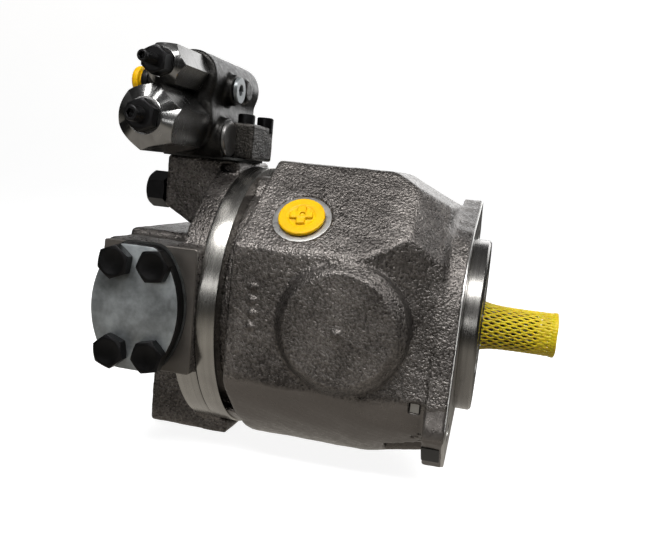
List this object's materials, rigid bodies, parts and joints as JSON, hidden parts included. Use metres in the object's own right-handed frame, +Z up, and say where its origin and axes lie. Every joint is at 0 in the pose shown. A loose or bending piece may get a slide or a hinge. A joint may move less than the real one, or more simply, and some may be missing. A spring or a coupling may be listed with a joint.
{
  "type": "axial piston pump",
  "caption": "Axial piston pump with a round flanged housing, drive shaft, port plate and a spring-set pressure and flow controller on top.",
  "frame": {"origin": "on the shaft axis at the mounting face of the flange, where it meets the machine it is bolted to", "axes": "+X out along the drive shaft, +Z up to the controller, +Y to the suction side, -Y to the pressure side"},
  "size_m": [0.2505, 0.1932, 0.227],
  "materials": {
    "cast_iron": "rough sand-cast, thinly oiled",
    "machined_steel": "turned, bright",
    "ground_steel": "ground and oiled",
    "bearing_steel": "polished races and rollers",
    "dark_steel": "heat-treated, dark",
    "bronze": "machined bearing bronze",
    "spring_steel": "drawn wire",
    "black_oxide": "black oxide, oiled",
    "zinc_plate": "dull zinc plating",
    "seal_rubber": "moulded rubber",
    "yellow_plastic": "moulded yellow plastic",
    "olive_plastic": "extruded plastic netting"
  },
  "bodies": {
    "casing": {"housing": "cast_iron", "port_plate": "cast_iron", "front_bearing_cup": "bearing_steel", "shaft_seal": "seal_rubber", "valve_plate": "bronze", "cradle_bearing_near": "bronze", "cradle_bearing_far": "bronze", "stroking_bore_plug": "black_oxide", "bias_spring": "spring_steel", "control_body": "cast_iron", "pressure_cap": "machined_steel", "flow_cap": "machined_steel", "pressure_spring": "spring_steel", "flow_spring": "spring_steel", "control_port_plug": "yellow_plastic", "control_side_plug": "zinc_plate", "pressure_cover": "zinc_plate", "suction_cover": "zinc_plate", "pressure_cover_bolt_1": "black_oxide", "pressure_cover_bolt_2": "black_oxide", "pressure_cover_bolt_3": "black_oxide", "pressure_cover_bolt_4": "black_oxide", "drain_plug": "yellow_plastic"},
    "rotating_group": {"drive_shaft": "ground_steel", "front_bearing_cone": "bearing_steel", "cylinder_block": "ground_steel", "retaining_ball": "bronze", "block_spring": "spring_steel", "shaft_sleeve": "olive_plastic"},
    "front_rollers": {"front_bearing_rollers": "bearing_steel"},
    "rear_rollers": {"rear_bearing_rollers": "bearing_steel"},
    "swash": {"swash_plate": "dark_steel"},
    "retainer": {"retaining_plate": "ground_steel"},
    "stroking": {"stroking_piston": "ground_steel"},
    "bias": {"bias_piston": "ground_steel"},
    "pressure_valve": {"pressure_spool": "ground_steel"},
    "flow_valve": {"flow_spool": "ground_steel"},
    "pressure_nut": {"pressure_lock_nut": "black_oxide"},
    "flow_nut": {"flow_lock_nut": "black_oxide"},
    "pressure_screw": {"pressure_adjusting_screw": "black_oxide"},
    "flow_screw": {"flow_adjusting_screw": "black_oxide"},
    "slipper_1": {"slipper_1": "bronze"},
    "piston_1": {"piston_1": "ground_steel"},
    "slipper_2": {"slipper_2": "bronze"},
    "piston_2": {"piston_2": "ground_steel"},
    "slipper_3": {"slipper_3": "bronze"},
    "piston_3": {"piston_3": "ground_steel"},
    "slipper_4": {"slipper_4": "bronze"},
    "piston_4": {"piston_4": "ground_steel"},
    "slipper_5": {"slipper_5": "bronze"},
    "piston_5": {"piston_5": "ground_steel"},
    "slipper_6": {"slipper_6": "bronze"},
    "piston_6": {"piston_6": "ground_steel"},
    "slipper_7": {"slipper_7": "bronze"},
    "piston_7": {"piston_7": "ground_steel"},
    "slipper_8": {"slipper_8": "bronze"},
    "piston_8": {"piston_8": "ground_steel"},
    "slipper_9": {"slipper_9": "bronze"},
    "piston_9": {"piston_9": "ground_steel"}
  },
  "joints": [
    {"name": "shaft_spin", "type": "hinge", "parent": "casing", "child": "rotating_group", "pos_m": [0, 0, 0], "axis": [1, 0, 0], "continuous": true},
    {"name": "front_rollers_spin", "type": "hinge", "parent": "casing", "child": "front_rollers", "pos_m": [0, 0, 0], "axis": [1, 0, 0], "continuous": true},
    {"name": "rear_rollers_spin", "type": "hinge", "parent": "casing", "child": "rear_rollers", "pos_m": [0, 0, 0], "axis": [1, 0, 0], "continuous": true},
    {"name": "swash_tilt", "type": "hinge", "parent": "casing", "child": "swash", "pos_m": [-0.052, 0, 0], "axis": [0, -1, 0], "range_deg": [0, 15]},
    {"name": "retainer_spin", "type": "hinge", "parent": "swash", "child": "retainer", "pos_m": [-0.052, 0, 0], "axis": [1, 0, 0], "continuous": true},
    {"name": "stroking_slide", "type": "slide", "parent": "casing", "child": "stroking", "axis": [-1, 0, 0], "range_m": [0, 0.0158]},
    {"name": "bias_slide", "type": "slide", "parent": "casing", "child": "bias", "axis": [1, 0, 0], "range_m": [0, 0.0132], "deforming": ["bias_spring"]},
    {"name": "pressure_spool_slide", "type": "slide", "parent": "casing", "child": "pressure_valve", "axis": [0, -1, 0], "range_m": [0, 0.003], "deforming": ["pressure_spring"]},
    {"name": "flow_spool_slide", "type": "slide", "parent": "casing", "child": "flow_valve", "axis": [0, -1, 0], "range_m": [0, 0.003], "deforming": ["flow_spring"]},
    {"name": "pressure_nut_turn", "type": "hinge", "parent": "casing", "child": "pressure_nut", "pos_m": [-0.168, 0, 0.0995], "axis": [0, -1, 0], "range_deg": [-360, 360]},
    {"name": "flow_nut_turn", "type": "hinge", "parent": "casing", "child": "flow_nut", "pos_m": [-0.1645, 0, 0.1275], "axis": [0, -1, 0], "range_deg": [-360, 360]},
    {"name": "pressure_screw_turn", "type": "hinge", "parent": "casing", "child": "pressure_screw", "pos_m": [-0.168, 0, 0.0995], "axis": [0, -1, 0], "range_deg": [-360, 360]},
    {"name": "flow_screw_turn", "type": "hinge", "parent": "casing", "child": "flow_screw", "pos_m": [-0.1645, 0, 0.1275], "axis": [0, -1, 0], "range_deg": [-360, 360]},
    {"name": "slipper_1_turn", "type": "hinge", "parent": "retainer", "child": "slipper_1", "pos_m": [-0.052, 0, 0.0295], "axis": [1, 0, 0], "continuous": true},
    {"name": "piston_1_ball", "type": "hinge", "parent": "slipper_1", "child": "piston_1", "pos_m": [-0.052, 0, 0.0295], "axis": [0, -1, 0], "range_deg": [-15, 0]},
    {"name": "slipper_2_turn", "type": "hinge", "parent": "retainer", "child": "slipper_2", "pos_m": [-0.052, -0.01896, 0.0226], "axis": [1, 0, 0], "continuous": true},
    {"name": "piston_2_ball", "type": "hinge", "parent": "slipper_2", "child": "piston_2", "pos_m": [-0.052, -0.01896, 0.0226], "axis": [0, -1, 0], "range_deg": [-15, 0]},
    {"name": "slipper_3_turn", "type": "hinge", "parent": "retainer", "child": "slipper_3", "pos_m": [-0.052, -0.02905, 0.00512], "axis": [1, 0, 0], "continuous": true},
    {"name": "piston_3_ball", "type": "hinge", "parent": "slipper_3", "child": "piston_3", "pos_m": [-0.052, -0.02905, 0.00512], "axis": [0, -1, 0], "range_deg": [-15, 0]},
    {"name": "slipper_4_turn", "type": "hinge", "parent": "retainer", "child": "slipper_4", "pos_m": [-0.052, -0.02555, -0.01475], "axis": [1, 0, 0], "continuous": true},
    {"name": "piston_4_ball", "type": "hinge", "parent": "slipper_4", "child": "piston_4", "pos_m": [-0.052, -0.02555, -0.01475], "axis": [0, -1, 0], "range_deg": [-15, 0]},
    {"name": "slipper_5_turn", "type": "hinge", "parent": "retainer", "child": "slipper_5", "pos_m": [-0.052, -0.01009, -0.02772], "axis": [1, 0, 0], "continuous": true},
    {"name": "piston_5_ball", "type": "hinge", "parent": "slipper_5", "child": "piston_5", "pos_m": [-0.052, -0.01009, -0.02772], "axis": [0, -1, 0], "range_deg": [-15, 0]},
    {"name": "slipper_6_turn", "type": "hinge", "parent": "retainer", "child": "slipper_6", "pos_m": [-0.052, 0.01009, -0.02772], "axis": [1, 0, 0], "continuous": true},
    {"name": "piston_6_ball", "type": "hinge", "parent": "slipper_6", "child": "piston_6", "pos_m": [-0.052, 0.01009, -0.02772], "axis": [0, -1, 0], "range_deg": [-15, 0]},
    {"name": "slipper_7_turn", "type": "hinge", "parent": "retainer", "child": "slipper_7", "pos_m": [-0.052, 0.02555, -0.01475], "axis": [1, 0, 0], "continuous": true},
    {"name": "piston_7_ball", "type": "hinge", "parent": "slipper_7", "child": "piston_7", "pos_m": [-0.052, 0.02555, -0.01475], "axis": [0, -1, 0], "range_deg": [-15, 0]},
    {"name": "slipper_8_turn", "type": "hinge", "parent": "retainer", "child": "slipper_8", "pos_m": [-0.052, 0.02905, 0.00512], "axis": [1, 0, 0], "continuous": true},
    {"name": "piston_8_ball", "type": "hinge", "parent": "slipper_8", "child": "piston_8", "pos_m": [-0.052, 0.02905, 0.00512], "axis": [0, -1, 0], "range_deg": [-15, 0]},
    {"name": "slipper_9_turn", "type": "hinge", "parent": "retainer", "child": "slipper_9", "pos_m": [-0.052, 0.01896, 0.0226], "axis": [1, 0, 0], "continuous": true},
    {"name": "piston_9_ball", "type": "hinge", "parent": "slipper_9", "child": "piston_9", "pos_m": [-0.052, 0.01896, 0.0226], "axis": [0, -1, 0], "range_deg": [-15, 0]}
  ],
  "couplings": [
    {"joint": "front_rollers_spin", "follows": "shaft_spin", "ratio": 0.42},
    {"joint": "rear_rollers_spin", "follows": "shaft_spin", "ratio": 0.41},
    {"joint": "retainer_spin", "follows": "shaft_spin", "ratio": 1},
    {"joint": "stroking_slide", "follows": "swash_tilt", "m_per_rad": 0.06},
    {"joint": "bias_slide", "follows": "swash_tilt", "m_per_rad": 0.05},
    {"joint": "slipper_1_turn", "follows": "shaft_spin", "ratio": -1},
    {"joint": "piston_1_ball", "follows": "swash_tilt", "ratio": -1},
    {"joint": "slipper_2_turn", "follows": "shaft_spin", "ratio": -1},
    {"joint": "piston_2_ball", "follows": "swash_tilt", "ratio": -1},
    {"joint": "slipper_3_turn", "follows": "shaft_spin", "ratio": -1},
    {"joint": "piston_3_ball", "follows": "swash_tilt", "ratio": -1},
    {"joint": "slipper_4_turn", "follows": "shaft_spin", "ratio": -1},
    {"joint": "piston_4_ball", "follows": "swash_tilt", "ratio": -1},
    {"joint": "slipper_5_turn", "follows": "shaft_spin", "ratio": -1},
    {"joint": "piston_5_ball", "follows": "swash_tilt", "ratio": -1},
    {"joint": "slipper_6_turn", "follows": "shaft_spin", "ratio": -1},
    {"joint": "piston_6_ball", "follows": "swash_tilt", "ratio": -1},
    {"joint": "slipper_7_turn", "follows": "shaft_spin", "ratio": -1},
    {"joint": "piston_7_ball", "follows": "swash_tilt", "ratio": -1},
    {"joint": "slipper_8_turn", "follows": "shaft_spin", "ratio": -1},
    {"joint": "piston_8_ball", "follows": "swash_tilt", "ratio": -1},
    {"joint": "slipper_9_turn", "follows": "shaft_spin", "ratio": -1},
    {"joint": "piston_9_ball", "follows": "swash_tilt", "ratio": -1}
  ]
}
